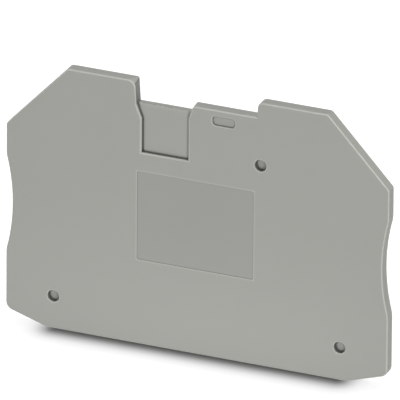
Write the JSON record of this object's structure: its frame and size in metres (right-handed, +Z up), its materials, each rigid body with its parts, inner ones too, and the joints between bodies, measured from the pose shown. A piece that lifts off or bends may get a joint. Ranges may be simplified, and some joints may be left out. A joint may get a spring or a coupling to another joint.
{
  "type": "terminal block end plate",
  "caption": "Thin flat moulded plate with sloped shoulders, waisted sides, a stepped notch with a flared pocket and locating pegs, that closes the open side of a row of terminal blocks.",
  "frame": {"origin": "on the inner face, midway between the two lower locating pegs", "axes": "+X along the plate's length to the right as seen from outside, +Y out of the inner face into the terminal block, +Z up"},
  "size_m": [0.074, 0.0047, 0.052],
  "materials": {
    "polyamide": "fine moulded matt, grey"
  },
  "bodies": {
    "root": {"end_plate": "polyamide"}
  },
  "joints": []
}
